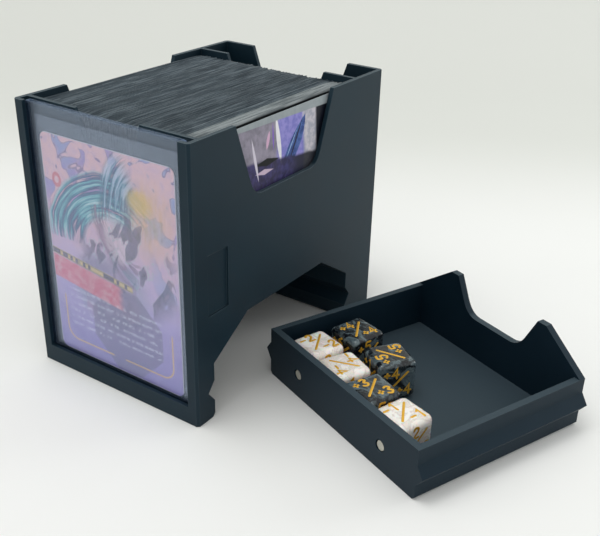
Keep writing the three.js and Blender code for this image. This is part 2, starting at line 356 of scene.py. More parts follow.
def printed_plastic(name, dark, light, lit_tops_above):
    """Satin plastic in fine horizontal layers, clouded a little. Faces turned up above a height in mm
    get painted highlight, and the eased edges are paler: a little all round as wear, and more as
    painted highlight where they face up.
    """
    blue_gloss = (0.74, 0.91, 1.0, 1.0)
    material, shader, place = new_finish(name, Specular_IOR_Level=0.28, Specular_Tint=blue_gloss)
    height = place.part("z")
    layer = (height * (2 * math.pi * MM / LAYER)).sine()
    wander = mottle(place, 0.035, 3, 0.55)
    grain = mottle(place, 2.4, 3, 0.6)
    tone = (wander * 0.75 + grain * 0.25).soft(0.3, 0.7).mix(dark, light)
    # painted highlight: faces turned up, above the given height, are mixed paler for the light that falls
    # on them from above
    lit_top = place.node("TexCoord", out=1).part("z").soft(0.8, 0.98)
    lit_top = lit_top * height.soft(lit_tops_above, lit_tops_above + 4)
    eased = place.node("Attribute", {"attribute_name": "eased"}, out=2)
    tone = (lit_top * 0.9).mix(tone, srgb(56, 69, 77))
    feed(
        shader,
        # eased edges made paler: a little all round as wear, and much more where they face up, as painted
        # highlight
        Base_Color=(eased * (0.05 + lit_top * 0.7)).mix(tone, srgb(132, 146, 152)),
        Roughness=0.43 + wander * 0.12 + grain * 0.08,
        Normal=bump(layer * 0.5 + grain, 0.3, 0.03 * MM),
    )
    return material


def flat_across(mesh, eased_slot):
    """Broad faces shade dead flat, and the eased strips between them blend from one to the next."""
    eased = [face.material_index == eased_slot for face in mesh.polygons]
    around = [[] for _ in mesh.vertices]
    for face in mesh.polygons:
        for vertex in face.vertices:
            around[vertex].append(face)
    normals = []
    for face in mesh.polygons:
        reach = math.cos(math.radians(60) if eased[face.index] else BEND_ANGLE)
        for vertex in face.vertices:
            flat = [other for other in around[vertex] if not eased[other.index]]
            near = [other for other in flat if other.normal.dot(face.normal) > reach]
            near = near or [other for other in around[vertex] if eased[other.index]] or [face]
            total = Vector((0, 0, 0))
            for other in near:
                total += other.normal * other.area
            normals.append(total.normalized())
    corners = [float(eased[face.index]) for face in mesh.polygons for _ in face.vertices]
    mesh.attributes.new("eased", "FLOAT", "CORNER").data.foreach_set("value", corners)
    mesh.polygons.foreach_set("material_index", [0] * len(mesh.polygons))
    mesh.normals_split_custom_set(normals)


def eased_copy(node, name, finish, ease):
    """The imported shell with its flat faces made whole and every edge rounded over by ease."""
    mesh = frame["nodes"][node].data.copy()
    mesh.name = name
    shape = bmesh.new()
    shape.from_mesh(mesh)
    bmesh.ops.remove_doubles(shape, verts=shape.verts, dist=0.001 * MM)
    bmesh.ops.dissolve_limit(shape, angle_limit=math.radians(1), verts=shape.verts, edges=shape.edges)
    shape.to_mesh(mesh)
    shape.free()
    # the rounding marks its own faces with the second slot, which goes again once they are read
    mesh.materials.clear()
    mesh.materials.append(finish)
    mesh.materials.append(finish)
    mesh.polygons.foreach_set("material_index", [0] * len(mesh.polygons))
    mesh.shade_smooth()
    piece = placed(name, mesh)
    rounding = piece.modifiers.new("ease", "BEVEL")
    rounding.width = ease
    rounding.segments = 3
    rounding.limit_method = "ANGLE"
    rounding.angle_limit = BEND_ANGLE
    rounding.miter_outer = "MITER_ARC"
    rounding.material = 1
    bpy.context.view_layer.update()
    rounded = piece.evaluated_get(bpy.context.evaluated_depsgraph_get())
    finished = bpy.data.meshes.new_from_object(rounded)
    piece.modifiers.clear()
    flat_across(finished, 1)
    finished.materials.pop()
    piece.data = finished
    finished.name = name
    return piece


def seat(piece, node):
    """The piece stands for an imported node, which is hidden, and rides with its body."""
    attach(piece, frame["nodes"][node]["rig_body"])
    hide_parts(node)


charcoal = printed_plastic("charcoal_print", srgb(11, 30, 41), srgb(17, 38, 49), lit_tops_above=74)
seat(eased_copy("box_body", "deck_box_shell", charcoal, ease=0.35 * MM), "box_body")


# ------------------------------------------------------------------ magnets
# Four nickel-plated discs, 4 mm across, pressed and glued a little below the surface of their
# holes: two in the tray's low end, two in the stop wall of the tunnel.

def nickel_plate():
    """Bright plating, rubbed dull in places."""
    material, shader, place = new_finish("nickel_plate", Metallic=1.0)
    rub = mottle(place, 3.0, 4, 0.6)
    feed(
        shader,
        Base_Color=rub.mix(srgb(176, 174, 160), srgb(214, 212, 202)),
        Roughness=0.22 + rub * 0.25,
        Normal=bump(rub, 0.2, 0.02 * MM),
    )
    return material


def turned_disc(name, centre, axis, radius, thickness, finish):
    """A disc lathed about its axis, with a rounded rim and a slightly dished face."""
    rim = 0.25 * MM
    steps = 48
    half = thickness / 2
    profile = [(0, half - 0.03 * MM), (radius * 0.7, half - 0.02 * MM), (radius - rim, half)]
    for angle in (0.5, 1.0, math.pi / 2):
        profile.append((radius - rim + rim * math.sin(angle), half - rim + rim * math.cos(angle)))
    profile += [(r, -h) for r, h in reversed(profile)]
    turn = axis.to_track_quat("Z", "Y").to_matrix()
    shape = bmesh.new()
    made = []
    for radial, height in profile:
        for step in range(steps):
            angle = 2 * math.pi * step / steps
            spoke = Vector((radial * math.cos(angle), radial * math.sin(angle), height))
            made.append(shape.verts.new(centre + turn @ spoke))
    for ring in range(0, len(made) - steps, steps):
        near, far = made[ring:ring + steps], made[ring + steps:ring + 2 * steps]
        for i in range(steps):
            j = (i + 1) % steps
            shape.faces.new([near[j], near[i], far[i], far[j]])
    bmesh.ops.remove_doubles(shape, verts=shape.verts, dist=0.001 * MM)
    bmesh.ops.recalc_face_normals(shape, faces=shape.faces)
    mesh = bpy.data.meshes.new(name)
    shape.to_mesh(mesh)
    shape.free()
    mesh.shade_smooth()
    mesh.materials.append(finish)
    return placed(name, mesh)


MAGNET_RADIUS, MAGNET_THICKNESS = 2 * MM, 1.5 * MM
nickel = nickel_plate()
mounts = {mount["name"]: mount for mount in frame["record"]["mounts"]}
tray_heading = -Vector(mounts["tray_rails"]["axis"])
for node, axis in (
    ("box_magnet_front", Vector((1, 0, 0))),
    ("box_magnet_back", Vector((1, 0, 0))),
    ("tray_magnet_near", -tray_heading),
    ("tray_magnet_far", -tray_heading),
):
    low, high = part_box(node)
    disc = turned_disc(node + "_disc", (low + high) / 2, axis, MAGNET_RADIUS, MAGNET_THICKNESS, nickel)
    seat(disc, node)


# ------------------------------------------------------------------ toploader
# A rigid clear vinyl holder: two sheets welded down both sides and along the bottom, open at the
# top, with rounded corners. It drops into the slot behind the window frame.

def clear_film(name, surfaces, tint):
    """Clear film: what lies behind it, and a mask for the gloss of its surfaces, stronger at a slant."""
    material, place = blank_material(name)
    facing = place.node("LayerWeight", values={"Blend": 0.5}, out=1)
    mirror = (0.045 + facing ** 5 * 0.9) * surfaces
    through = place.node("BsdfTransparent", values={"Color": tint})
    return material, place, mirror, through


def finish_film(material, mirror, through, gloss, milk, milkiness):
    """The gloss laid over the clear film by the mirror mask, and milk over both by the milkiness."""
    output = material.node_tree.nodes.new("ShaderNodeOutputMaterial")
    clear = mirror.node("MixShader", values={0: mirror, 1: through, 2: gloss})
    milky = mirror.node("MixShader", values={0: milkiness, 1: clear, 2: milk})
    material.node_tree.links.new(milky.socket, output.inputs[0])
    return material


def clear_vinyl():
    """Clear vinyl with fine scuffs, welds on three sides clouded navy as painted shade, and a blue
    rim where it is cut.
    """
    material, place, mirror, through = clear_film("clear_vinyl", 1.0, srgb(252, 253, 255))
    low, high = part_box("toploader")
    across = place.part("x") - (low.x + high.x) / 2 / MM
    up = place.part("z")
    half = (high.x - low.x) / 2 / MM
    weld = abs(across).soft(half - 4.6, half - 3.0).larger(up.soft(low.z / MM + 3.3, low.z / MM + 2.9))
    rim = abs(across).soft(half - 0.7, half - 0.35).larger(up.soft(high.z / MM - 0.7, high.z / MM - 0.35))
    scuff = mottle(place, 0.12, 4, 0.65)
    surface = bump(mottle(place, 0.03, 2) + weld * 0.3, 0.2, 0.3 * MM)
    gloss = place.node("BsdfGlossy", values={
        "Color": srgb(228, 240, 255), "Roughness": 0.1 + scuff * 0.06 + weld * 0.25, "Normal": surface,
    })
    # painted shade: the navy laid over the welds stands for the dark shade seen through them
    pale, painted_weld_shade, blue = (
        place.node("BsdfDiffuse", values={"Color": tone})
        for tone in (srgb(140, 156, 178), srgb(14, 36, 58), srgb(104, 122, 148))
    )
    milk = place.node("MixShader", values={0: weld, 1: pale, 2: painted_weld_shade})
    milk = place.node("MixShader", values={0: rim, 1: milk, 2: blue})
    milkiness = (0.02 + scuff * 0.03 + weld * 0.3 + rim * 0.2).smaller(0.8)
    return finish_film(material, mirror * (1 - weld * 0.7), through, gloss, milk, milkiness)


seat(eased_copy("toploader", "toploader_sleeve", clear_vinyl(), ease=0.1 * MM), "toploader")


# ------------------------------------------------------------------ soft sleeve
# Inside the toploader the card wears a thin soft sleeve, two films welded round three sides and
# open at the top, where it stands a few millimetres above the card.

SLEEVE_SIDE = 1.6 * MM
SLEEVE_RISE = 5.6 * MM
SLEEVE_FOOT = 0.25 * MM


def soft_film():
    """Thin rippled film with a soft shine."""
    material, place, mirror, through = clear_film("soft_film", 1.9, srgb(251, 252, 253))
    ripple = mottle(place, 0.05, 3, 0.5)
    surface = bump(ripple, 0.25, 0.4 * MM)
    gloss = place.node("BsdfGlossy", values={
        "Color": srgb(226, 238, 255), "Roughness": 0.16 + ripple * 0.12, "Normal": surface,
    })
    milk = place.node("BsdfDiffuse", values={"Color": srgb(190, 206, 228)})
    return finish_film(material, mirror, through, gloss, milk, 0.03 + ripple * 0.05)


def soft_sleeve():
    """Two films about the card, bellied a little away from it towards the open top."""
    low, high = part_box("display_card")
    columns, rows = 12, 16
    verts, faces = [], []
    for y, bulge in ((low.y - 0.1 * MM, -0.08), (high.y + 0.1 * MM, 0.08)):
        start = len(verts)
        for row in range(rows + 1):
            for column in range(columns + 1):
                u, v = column / columns, row / rows
                x = low.x - SLEEVE_SIDE + u * (high.x - low.x + 2 * SLEEVE_SIDE)
                z = low.z - SLEEVE_FOOT + v * (high.z - low.z + SLEEVE_RISE + SLEEVE_FOOT)
                lift = bulge * math.sin(math.pi * u) * (0.4 + 0.6 * v) * MM
                verts.append((x, y + lift, z))
        for row in range(rows):
            for column in range(columns):
                a = start + row * (columns + 1) + column
                faces.append((a, a + 1, a + columns + 2, a + columns + 1))
    mesh = bpy.data.meshes.new("soft_sleeve")
    mesh.from_pydata(verts, [], faces)
    mesh.shade_smooth()
    mesh.materials.append(soft_film())
    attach(placed("soft_sleeve", mesh), "display_card")


soft_sleeve()


# ------------------------------------------------------------------ display card
# A full-art playing card of coated board, die-cut with round corners, standing loose in the soft
# sleeve. Teal ribbons cross a pink and violet sky, over a crystal heap and a blank red strip.

def length_of(first, second):
    """The length of a slanting line from its two sides."""
    return (first * first + second * second) ** 0.5


def flow(face, centre_x, centre_z, squash, run, grain):
    """Distance and heading from a centre, and noise drawn out along the circles round it."""
    right = face.across - centre_x + face.swirl * 7
    rise = (face.up - centre_z) * squash + face.swirl * 5
    reach = length_of(right, rise)
    heading = face.place.maths("ARCTAN2", rise, right)
    spot = face.place.point(reach * grain, heading * run, centre_x)
    return reach, heading, mottle(spot, 1.0, 3, 0.55)


def sky(face):
    """Pink at the top, lilac below, violet at the foot, in drifts round the upper right."""
    up, fine = face.up, face.fine
    drift = flow(face, 26, 30, 1.0, 1.6, 0.16)[2]
    fall = (up + drift * 26 - 13).soft(-48, 42)
    air = fall.ramp(
        (0.0, srgb(158, 138, 206)), (0.3, srgb(202, 176, 224)), (0.55, srgb(232, 196, 222)),
        (0.8, srgb(252, 200, 206)), (1.0, srgb(255, 204, 204)),
    )
    return (fine.soft(0.4, 0.7) * 0.3).mix(air, srgb(196, 170, 222))


def petals(face, art):
    """Loose petals of violet and blue along the top and down the right side."""
    place, across, up = face.place, face.across, face.up
    petal = mottle(place, 0.1, 2, 0.4, 0.9)
    where = (up.soft(12, 24) + across.soft(16, 24) * 0.6).smaller(1.0) * up.soft(-16, 0)
    tint = mottle(place, 0.06, 1).soft(0.4, 0.6).mix(srgb(160, 132, 208), srgb(122, 160, 216))
    art = (petal.soft(0.53, 0.6) * where * 0.75).mix(art, tint)
    return (abs(petal - 0.565).soft(0.012, 0.004) * where * 0.6).mix(art, srgb(92, 70, 130))


def broad_ribbons(face, art):
    """A broad fan of teal ribbons that leaves the top middle and falls away to the left."""
    reach, heading, strand = flow(face, 0, 4, 1.05, 0.8, 0.62)
    tips = mottle(reach.point(reach * 0.9, 0.0, 3.0), 1.0, 2) - 0.5
    fan = reach.soft(33, 30.5) * reach.soft(13, 16) * (heading + tips * 1.6).soft(0.75, 1.15)
    fan = fan * (heading + tips * 1.2).soft(3.3, 2.9) * strand.soft(0.34, 0.42)
    ribbon = strand.soft(0.36, 0.68).ramp(
        (0.0, srgb(44, 54, 112)), (0.25, srgb(30, 96, 140)), (0.5, srgb(44, 150, 168)),
        (0.75, srgb(112, 198, 202)), (1.0, srgb(200, 232, 228)),
    )
    return (fan * 0.95).mix(art, ribbon)


def short_ribbons(face, art):
    """Shorter ribbons that turn down through the middle."""
    reach, heading, strand = flow(face, 20, 22, 0.9, 1.0, 0.7)
    drop = reach.soft(26, 23) * reach.soft(9, 12) * heading.soft(2.0, 2.5) * strand.soft(0.4, 0.46)
    low_turn = reach.soft(30, 27) * reach.soft(17, 20) * heading.soft(-1.7, -2.1) * strand.soft(0.46, 0.52)
    cool = strand.soft(0.4, 0.66).ramp(
        (0.0, srgb(40, 50, 96)), (0.5, srgb(56, 140, 164)), (1.0, srgb(204, 214, 230)),
    )
    art = (drop * 0.9).mix(art, cool)
    return (low_turn * 0.75).mix(art, strand.soft(0.45, 0.65).mix(srgb(70, 56, 92), srgb(170, 120, 150)))


def warm_glow(face, art):
    """A warm glow high on the right, brushed with gold."""
    across, up = face.across, face.up
    glow = length_of((across - 19) * 1.1, (up - 22) * 0.8).soft(16, 4)
    brushed = mottle(up.point(across * 0.5, up * 0.09, 4.0), 1.0, 3)
    art = (glow * 0.55).mix(art, brushed.soft(0.35, 0.62).mix(srgb(250, 206, 178), srgb(244, 190, 92)))
    spark = length_of((across - 15) * 0.8 + face.swirl * 8, up - 31 + face.fine * 6).soft(6.5, 2.5)
    return (spark * 0.75).mix(art, srgb(252, 206, 84))


def bloom_and_leaves(face, art):
    """A pale bloom in the centre with dark leaves round it, each with a bright rim."""
    across, up, fine = face.across, face.up, face.fine
    bloom = length_of((across - 3) * 1.5, up - 12 + across * 0.3).soft(11, 7)
    art = (bloom * 0.6 * fine.soft(0.3, 0.5)).mix(art, srgb(252, 222, 226))
    slanted = up.point(across - up * 0.5, up * 0.45 + across * 0.3, 9.0)
    leaf = mottle(slanted, 0.13, 2, 0.45, 0.8)
    near = length_of((across - 8) * 0.9, up - 2).soft(25, 14)
    dark = leaf.soft(0.53, 0.565) * near
    art = (dark * 0.78).mix(art, fine.soft(0.4, 0.6).mix(srgb(50, 44, 74), srgb(104, 84, 122)))
    rim = abs(leaf - 0.52).soft(0.012, 0.004) * near
    return (rim * 0.8).mix(art, fine.mix(srgb(96, 176, 190), srgb(250, 226, 214)))


def crystal_heap(face, art):
    """Facets heaped in the lower middle, over a dark eight-sided plate at the foot."""
    place, across, up, fine = face.place, face.across, face.up, face.fine
    cells = place.node("TexVoronoi", {"feature": "F1"}, {"Vector": place, "Scale": 0.15}, out=1)
    facet = place.node("SeparateColor", values={0: cells})
    heap = (length_of((across + 2) * 0.85, up + 11) + fine * 5).soft(21, 15) * up.soft(6, -2)
    crystal = facet.ramp(
        (0.0, srgb(112, 102, 138)), (0.35, srgb(148, 124, 160)), (0.6, srgb(176, 134, 164)),
        (0.85, srgb(124, 152, 176)), (1.0, srgb(206, 178, 206)),
    )
    art = (heap * 0.6).mix(art, crystal)
    plate_x, plate_z = abs(across - 5), abs(up + 26)
    plate = plate_x.larger(plate_z).larger((plate_x + plate_z) * 0.74)
    return (plate.soft(17.6, 17.0) * 0.6).mix(art, fine.mix(srgb(108, 96, 134), srgb(134, 116, 152)))


def name_strip(face, art):
    """A red strip under a chequered gold rule, both a little downhill, with nothing written on them."""
    across, up, fine = face.across, face.up, face.fine
    slope = up + (across + 29) * 0.13
    strip = (across - fine * 5).soft(2.5, -1.5) * slope.soft(-13.4, -12.8) * slope.soft(-3.6, -4.0)
    art = (strip * 0.85).mix(art, fine.soft(0.35, 0.65).mix(srgb(246, 100, 124), srgb(252, 164, 172)))
    rule = across.soft(9.4, 8.9) * slope.soft(-3.6, -3.3) * slope.soft(-0.8, -1.1)
    step = (across * (1 / 1.3)).floor()
    checks = step.node("TexWhiteNoise", {"noise_dimensions": "1D"}, {"W": step}).soft(0.3, 0.5)
    checks = checks * slope.soft(-3.1, -2.9) * slope.soft(-1.3, -1.5)
    art = (rule * 0.85).mix(art, checks.mix(srgb(92, 70, 84), srgb(240, 206, 122)))
    return (rule * abs(slope + 2.2).soft(0.95, 1.1) * 0.8).mix(art, srgb(244, 214, 140))


def broken_lines(face, art):
    """Pale broken lines where a card would carry its rules."""
    place, across, up = face.place, face.across, face.up
    row = (up + across * 0.02 + 60) * (1 / 3.0)
    line = row.floor()
    ruled = abs(row - line - 0.5).soft(0.24, 0.17) * up.soft(-32.4, -32) * up.soft(-15.4, -16)
    spot = place.point(across * 0.42, line * 7.3, 0.0)
    word = mottle(spot, 1.0, 1).soft(0.42, 0.46)
    mark = mottle(place, 1.5, 1, 0.5).soft(0.4, 0.52)
    return (ruled * word * mark * abs(across + 1).soft(24, 22) * 0.5).mix(art, srgb(250, 240, 250))


def border(face, art):
    """Thin gold lines round the two lower corners, a small ring near the upper left, a pale cut edge."""
    across, up = face.across, face.up
    bend = 5.0
    corner_x = (abs(across) - (27 - bend)).larger(0.0)
    corner_z = (0 - up - (38.5 - bend)).larger(0.0)
    bracket = abs(length_of(corner_x, corner_z) - bend).soft(0.45, 0.22)
    bracket = bracket * up.soft(-19, -21) * abs(across).soft(2.5, 3.5)
    art = (bracket * 0.85).mix(art, srgb(252, 200, 122))
    ringlet = abs(length_of(across + 25, (up - 27) * 0.8) - 1.7).soft(0.8, 0.4)
    art = (ringlet * 0.8).mix(art, srgb(232, 104, 112))
    edge = (abs(across) - 31.2).larger(abs(up) - 43.7).soft(0, 0.15)
    return edge.mix(art, srgb(228, 222, 226))


def card_print():
    """The printed face, laid down layer upon layer, in millimetres from the middle of the card."""
    material, shader, place = new_finish("card_print", Specular_IOR_Level=0.4)
    low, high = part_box("display_card")
    face = SimpleNamespace(
        place=place,
        across=place.part("x") - (low.x + high.x) / 2 / MM,
        up=place.part("z") - (low.z + high.z) / 2 / MM,
        swirl=mottle(place, 0.05, 3, 0.5, 0.6) - 0.5,
        fine=mottle(place, 0.3, 4, 0.6, 0.6),
    )
    art = sky(face)
    for layer in (
        petals, broad_ribbons, short_ribbons, warm_glow, bloom_and_leaves,
        crystal_heap, name_strip, broken_lines, border,
    ):
        art = layer(face, art)
    feed(shader, Base_Color=art, Roughness=0.32 + face.fine * 0.1)
    return material


display_print = eased_copy("display_card", "display_card_print", card_print(), ease=0.06 * MM)
seat(display_print, "display_card")


# ------------------------------------------------------------------ sleeved deck
# About a hundred cards stand on their long edges, each in a black-backed sleeve whose welded rim
# stands up as a thin fin. The last few are in clear sleeves, with a narrow gap before the outermost
# pair, which stands against the notched wall.

CARDS_PER_PACKET = 4
CARD_GAP = 0.06 * MM
PACKET_GAP = 0.3 * MM
FIN = 0.24 * MM
FIN_DROP = 1.7 * MM
STATIONS = 15
SHADE_WIDTH = 0.7327 * MM
WIDEST_GAP = 0.95 * MM
BOWED_WIDTH = 10 * MM


def black_sleeve():
    """Black-backed film, scratched and combed along its fins, in shades about one sleeve wide.
    Below the fin tops it darkens with painted shade, down between the cards.
    """
    material, shader, place = new_finish("black_sleeve", Specular_IOR_Level=0.4, Sheen_Weight=0.08)
    across = place.part("x")
    strip = (across * (MM / SHADE_WIDTH)).floor()
    card = place.node("TexWhiteNoise", {"noise_dimensions": "1D"}, {"W": strip})
    grain = mottle(place, 1.6, 4, 0.7)
    along = place.part("y")
    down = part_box("packet_01")[1].z / MM - place.part("z")
    spot = place.point(across * 2.6, along * 0.07, down * 0.8)
    streak = mottle(spot, 1.0, 3, 0.6).soft(0.42, 0.66)
    drift = mottle(place, 0.06, 2)
    tone = (card * 0.45 + drift * 0.55).mix(srgb(44, 57, 66), srgb(78, 93, 103))
    comb = (along * (2 * math.pi / 0.7)).sine() * mottle(place, 0.12, 1).soft(0.5, 0.62)
    tone = (streak * (0.3 + card * 0.5) + comb * 0.12).mix(tone, srgb(134, 148, 156))
    feed(
        shader,
        # painted shade: darker from 0.6 to 1.8 mm below the fin tops, in the grooves between the cards
        Base_Color=(down.soft(0.6, 1.8) * 0.6).mix(tone, srgb(20, 27, 33)),
        Roughness=0.42 + grain * 0.25,
        Normal=bump(grain * 0.6 + comb * 0.6, 0.5, 0.08 * MM),
    )
    return material


def clear_sleeve():
    """Clear film: pale along the fins, and dark below them where only its own shadow shows."""
    material, shader, place = new_finish("clear_sleeve", Specular_IOR_Level=0.55)
    grain = mottle(place, 0.8, 4, 0.7)
    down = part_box("packet_25")[1].z / MM - place.part("z")
    across = place.part("x")
    along = place.part("y")
    spot = place.point(across * 1.9, along * 0.05, 0.0)
    streak = mottle(spot, 1.0, 2, 0.5).soft(0.4, 0.6)
    tone = (streak * 0.65 + grain * 0.35).mix(srgb(104, 114, 118), srgb(190, 198, 200))
    feed(
        shader,
        Base_Color=down.soft(0.7, 1.3).mix(tone, srgb(6, 11, 16)),
        Roughness=0.25 + grain * 0.25,
        Normal=bump(grain, 0.25, 0.05 * MM),
    )
    return material


def outer_card_art():
    """The outermost card, seen in the notch: grey sky, pale shards, blue and violet, a dark foot,
    and a painted shadow over its upper part towards one end.
    """
    material, shader, place = new_finish("outer_card_print", Specular_IOR_Level=0.2)
    low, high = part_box("outer_packet")
    along = place.part("y") - (low.y + high.y) / 2 / MM
    down = high.z / MM - place.part("z")
    swirl = mottle(place, 0.09, 3, 0.5, 0.4)
    fine = mottle(place, 0.4, 3, 0.6)
    wave = (swirl - 0.5) * 3
    art = (swirl * 0.6 + fine * 0.4).soft(0.35, 0.65).mix(srgb(112, 110, 122), srgb(150, 144, 160))

    # violet sky behind, grey-lilac cloud on the right of it
    violet = (along + wave).soft(-5, -2)
    art = (violet * 0.9).mix(art, fine.soft(0.35, 0.65).mix(srgb(118, 118, 196), srgb(146, 140, 210)))
    cloud = fine.soft(0.35, 0.65).mix(srgb(160, 162, 176), srgb(196, 192, 200))
    art = (along + wave - down * 0.05).soft(11, 13.5).mix(art, cloud)

    def shard(art, breadth, start, end, top, foot, tone):
        """A pointed sliver whose middle runs from start at its top to end at its foot."""
        share = (down - top) / (foot - top)
        middle = start + (end - start) * share
        width = (share * (1 - share)).larger(0.0) * 4 * breadth
        return (width - abs(along - middle)).soft(0.0, 0.25).mix(art, tone)

    art = shard(art, 1.0, -8.2, -9.8, 5, 12, srgb(206, 168, 196))
    art = shard(art, 0.5, -6.4, -5.6, 2, 14, srgb(128, 96, 190))
    art = shard(art, 1.3, -4.6, -0.8, 0, 20, fine.mix(srgb(206, 206, 212), srgb(244, 242, 246)))
    art = shard(art, 4.2, 13.8, -0.5, 4, 26, fine.soft(0.3, 0.7).mix(srgb(34, 58, 118), srgb(82, 112, 176)))
    art = shard(art, 0.7, 12.6, 3.0, 4, 22, srgb(26, 34, 66))
    art = shard(art, 0.4, 9.8, 1.0, 7, 20, srgb(150, 180, 214))

    # the dark foot, with a black blade and two pale slivers over it
    foot = (down + wave - 14.0 - (along + 23) * 0.12).soft(-0.5, 1.0)
    night = fine.soft(0.3, 0.7).mix(srgb(34, 30, 62), srgb(58, 52, 104))
    art = (foot * 0.95).mix(art, along.soft(2, 11).mix(night, srgb(12, 18, 30)))
    blade = 1.6 - abs(down - 16.3 - (along + 10) * 0.05) - abs(along + 9.5) * 0.2
    art = blade.soft(0.0, 0.3).mix(art, srgb(6, 10, 14))
    sliver = 1.2 - abs(down - 19.6 - (along + 10) * 0.05) - abs(along + 11) * 0.2
    art = sliver.soft(0.0, 0.3).mix(art, srgb(196, 176, 196))
    art = shard(art, 0.8, -18.6, -14.2, 5, 23, srgb(206, 200, 214))
    # painted shadow: near black over the upper part of the card towards one end of its length
    painted_edge_shadow = (along - down * 0.06).soft(19.6, 21.2) * down.soft(34, 28)
    art = painted_edge_shadow.mix(art, fine.mix(srgb(4, 9, 16), srgb(16, 18, 36)))

    # lower half, hidden in the chamber: a lilac field, a pale panel and a thin gold frame
    lilac = (fine * 0.5 + swirl * 0.5).soft(0.4, 0.6).mix(srgb(96, 78, 150), srgb(150, 130, 190))
    art = down.soft(31, 36).mix(art, lilac)
    inside = abs(along).larger(abs(down - 68) * 1.7)
    art = (inside.soft(27, 26.6) * 0.6).mix(art, fine.mix(srgb(190, 178, 214), srgb(216, 206, 228)))
    art = (abs(inside - 28).soft(0.5, 0.25) * 0.9).mix(art, srgb(222, 182, 104))

    # the pale top margin
    margin = (down - along * 0.03).soft(2.9, 2.5)
    art = margin.mix(art, fine.mix(srgb(132, 142, 146), srgb(160, 168, 172)))
    feed(shader, Base_Color=art, Roughness=0.45 + fine * 0.15)
    return material


def bow_of(x):
    """How far the middle of the card at x bows away from the outermost pair."""
    return max(0.0, WIDEST_GAP * (1 - (outer_cards_start - x) / BOWED_WIDTH))


def sleeved_card(verts, faces, seed, x, low, high, thick, bow):
    """One card in its sleeve: flat body, shoulders that close into a thin welded fin along the top."""
    start = len(verts)
    rise = noise.noise((seed * 1.73, 3.1, 0)) * 0.75 * MM
    slip = noise.noise((seed * 0.91, 7.7, 0)) * 0.5 * MM
    for station in range(STATIONS):
        share = station / (STATIONS - 1)
        at_end = station in (0, STATIONS - 1)
        y = low.y + (high.y - low.y) * (share - 0.04 * math.sin(2 * math.pi * share)) + slip
        centre = x - bow * max(0.0, math.sin(math.pi * share)) ** 0.5
        body = thick / 2 * (0.35 if at_end else 1)
        top = high.z + rise + noise.noise((seed * 1.1, share * 2.5, 9.0)) * 0.15 * MM
        top -= 0.5 * MM if at_end else 0
        shoulder, brow = top - FIN_DROP, top - 0.35 * MM
        fin = centre + noise.noise((seed * 2.3, share * 4.0, 1.5)) * 0.16 * MM
        ring = [
            (centre - body, low.z), (centre + body, low.z), (centre + body, shoulder),
            (fin + FIN / 2, brow), (fin + FIN * 0.3, top), (fin - FIN * 0.3, top), (fin - FIN / 2, brow),
            (centre - body, shoulder),
        ]
        verts.extend((across, y, up) for across, up in ring)
    size = len(ring)
    for station in range(STATIONS - 1):
        near = start + station * size
        for i in range(size):
            j = (i + 1) % size
            faces.append((near + i, near + j, near + size + j, near + size + i))
    faces.append(tuple(start + i for i in reversed(range(size))))
    faces.append(tuple(start + (STATIONS - 1) * size + i for i in range(size)))


def mesh_piece(name, verts, faces, finishes, marks=None):
    """An object from points and faces. marks gives each face the number of its finish."""
    mesh = bpy.data.meshes.new(name)
    mesh.from_pydata(verts, [], faces)
    for finish in finishes:
        mesh.materials.append(finish)
    if marks:
        mesh.polygons.foreach_set("material_index", marks)
    mesh.shade_smooth()
    mesh.set_sharp_from_angle(angle=math.radians(32))
    mesh.update()
    return placed(name, mesh)


sleeve, film, outer_print = black_sleeve(), clear_sleeve(), outer_card_art()
outer_cards_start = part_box("outer_packet")[0].x
packets = [node for node in frame["record"]["behaviour"]["bodies"]["deck"] if node.startswith("packet_")]
for number, node in enumerate(packets):
    low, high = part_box(node)
    pitch = (high.x - low.x + PACKET_GAP) / CARDS_PER_PACKET
    verts, faces = [], []
    for k in range(CARDS_PER_PACKET):
        x = low.x + pitch * (k + 0.5) - PACKET_GAP / 2
        sleeved_card(verts, faces, number * 5 + k, x, low, high, pitch - CARD_GAP, bow_of(x))
    finish = film if number >= len(packets) - 2 else sleeve
    seat(mesh_piece("sleeved_cards_" + node[-2:], verts, faces, [finish]), node)

# the outermost pair: the printed card by the wall, then one in a clear sleeve, both a little lower
low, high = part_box("outer_packet")
outer_high = high - Vector((0, 0, 0.3 * MM))
verts, faces, marks = [], [], []
for finish_number, seed, inset, thick in ((1, 301, 0.33 * MM, 0.62 * MM), (0, 302, 0.98 * MM, 0.58 * MM)):
    sleeved_card(verts, faces, seed, high.x - inset, low, outer_high, thick, 0)
    marks += [finish_number] * (len(faces) - len(marks))
seat(mesh_piece("outer_cards", verts, faces, [film, outer_print], marks), "outer_packet")


# ------------------------------------------------------------------ dice tray
# The second charcoal print, of the box's plastic with its colour set darker as painted shade: a
# shallow tray with a V rail down each side, a low end that carries the magnets and a tall end
# with the finger notch.

# painted shade: the box's charcoal plastic set darker, and every face turned up painted paler as highlight
charcoal_in_shade = printed_plastic("charcoal_print_in_shade", srgb(7, 25, 37), srgb(12, 31, 43), lit_tops_above=-5)
seat(eased_copy("dice_tray", "dice_tray_shell", charcoal_in_shade, ease=0.4 * MM), "dice_tray")


# ------------------------------------------------------------------ counter dice
# Six tumbled resin dice: three of white pearl with soft corners and minus counters, three of dark
# marble with tighter corners and plus counters. The signs are filled with gold paint.

DIE = 15.5 * MM
